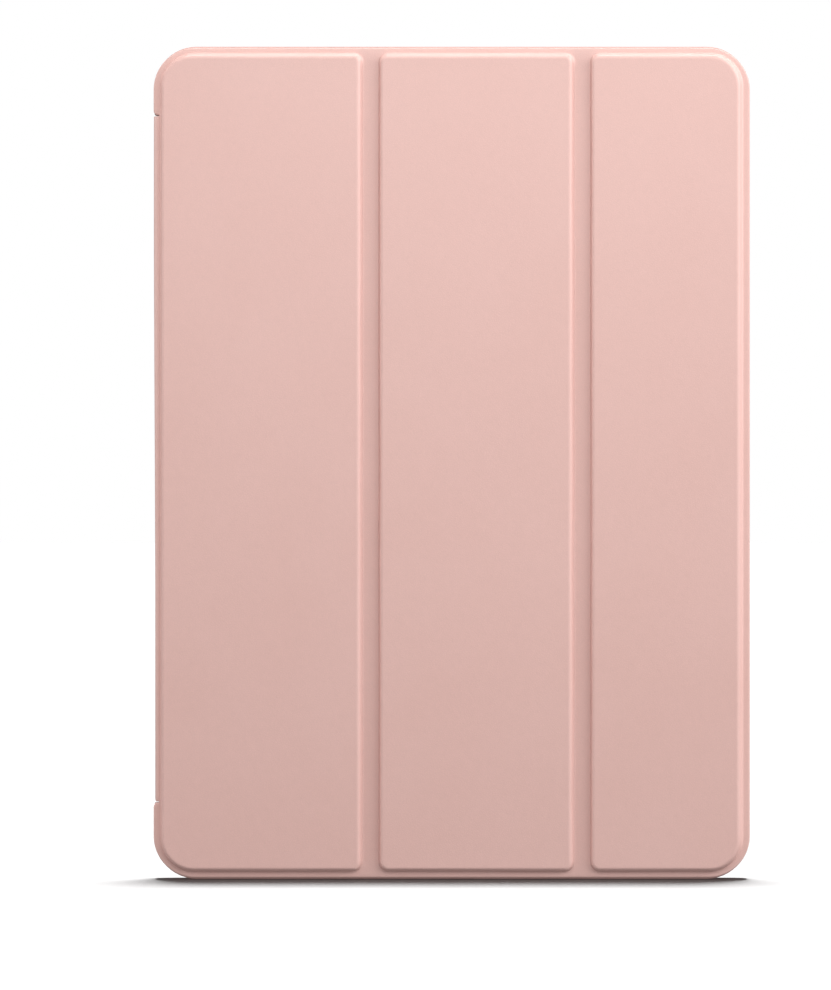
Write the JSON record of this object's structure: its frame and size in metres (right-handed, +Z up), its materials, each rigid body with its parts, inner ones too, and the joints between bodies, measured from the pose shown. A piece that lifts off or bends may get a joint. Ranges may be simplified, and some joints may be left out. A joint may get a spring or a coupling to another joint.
{
  "type": "tablet case",
  "caption": "Upright tri-fold folio case for a tablet: moulded back shell, folding spine and three board-stiffened leather panels that fold into a stand.",
  "frame": {"origin": "bottom centre of the bounding box of the closed case standing on its short edge", "axes": "+Z up along the long side, +X to the right seen from the cover's front, -Y out of the front cover, +Y out of the shell's back; the spine is on the -X side"},
  "size_m": [0.1756, 0.0132, 0.245],
  "materials": {
    "cover_leather": "satin rose-gold synthetic leather with a very fine grain",
    "lining_fabric": "soft microfibre",
    "shell_plastic": "matte rose-gold moulded shell",
    "board": "grey fibre board",
    "spine_plastic": "thin white plastic sheet",
    "keeper_steel": "thin rolled steel",
    "magnet_nickel": "nickel-plated magnet",
    "adhesive_tape": "thin double-sided tape"
  },
  "bodies": {
    "tray": {"back_shell": "shell_plastic", "back_flap_leather": "cover_leather", "back_flap_tape": "adhesive_tape"},
    "crease_flap_side": {"crease_leather_flap_side": "cover_leather"},
    "spine": {"spine_leather": "cover_leather", "spine_board": "spine_plastic", "spine_lining": "lining_fabric"},
    "crease_spine_side": {"crease_leather_spine_side": "cover_leather"},
    "panel_1": {"panel_1_leather": "cover_leather", "panel_1_board": "board", "panel_1_lining": "lining_fabric", "stand_keeper_plates": "keeper_steel"},
    "fold_1": {"fold_1_leather": "cover_leather", "fold_1_lining": "lining_fabric"},
    "panel_2": {"panel_2_leather": "cover_leather", "panel_2_board": "board", "panel_2_lining": "lining_fabric"},
    "fold_2": {"fold_2_leather": "cover_leather", "fold_2_lining": "lining_fabric"},
    "panel_3": {"panel_3_leather": "cover_leather", "panel_3_board": "board", "panel_3_lining": "lining_fabric", "closure_magnets": "magnet_nickel", "wake_magnet": "magnet_nickel"}
  },
  "joints": [
    {"name": "spine_back_fold", "type": "hinge", "parent": "tray", "child": "spine", "pos_m": [-0.0876, 0.00655, 0.1225], "axis": [0, 0, -1], "range_deg": [0, 257.5]},
    {"name": "crease_flap_fold", "type": "hinge", "parent": "tray", "child": "crease_flap_side", "pos_m": [-0.0876, 0.00655, 0.1225], "axis": [0, 0, -1], "range_deg": [0, 128.75]},
    {"name": "crease_spine_fold", "type": "hinge", "parent": "spine", "child": "crease_spine_side", "pos_m": [-0.0876, 0.00655, 0.1225], "axis": [0, 0, 1], "range_deg": [0, 128.75]},
    {"name": "spine_front_fold", "type": "hinge", "parent": "spine", "child": "panel_1", "pos_m": [-0.0876, -0.00455, 0.1225], "axis": [0, 0, -1], "range_deg": [0, 102.5]},
    {"name": "fold_1_stand", "type": "hinge", "parent": "panel_1", "child": "fold_1", "pos_m": [-0.0247, -0.0041, 0.1225], "axis": [0, 0, 1], "range_deg": [0, 128]},
    {"name": "fold_1_back", "type": "hinge", "parent": "fold_1", "child": "panel_2", "pos_m": [-0.0227, -0.0041, 0.1225], "axis": [0, 0, -1], "range_deg": [0, 100]},
    {"name": "fold_2_stand", "type": "hinge", "parent": "panel_2", "child": "fold_2", "pos_m": [0.0376, -0.0041, 0.1225], "axis": [0, 0, 1], "range_deg": [0, 120]},
    {"name": "fold_2_back", "type": "hinge", "parent": "fold_2", "child": "panel_3", "pos_m": [0.03955, -0.0041, 0.1225], "axis": [0, 0, -1], "range_deg": [0, 100]}
  ],
  "couplings": [
    {"joint": "crease_flap_fold", "follows": "spine_back_fold", "ratio": 0.5},
    {"joint": "crease_spine_fold", "follows": "spine_back_fold", "ratio": 0.5},
    {"joint": "fold_1_stand", "follows": "spine_back_fold", "ratio": 0.49709},
    {"joint": "fold_2_stand", "follows": "spine_back_fold", "ratio": 0.46602}
  ]
}
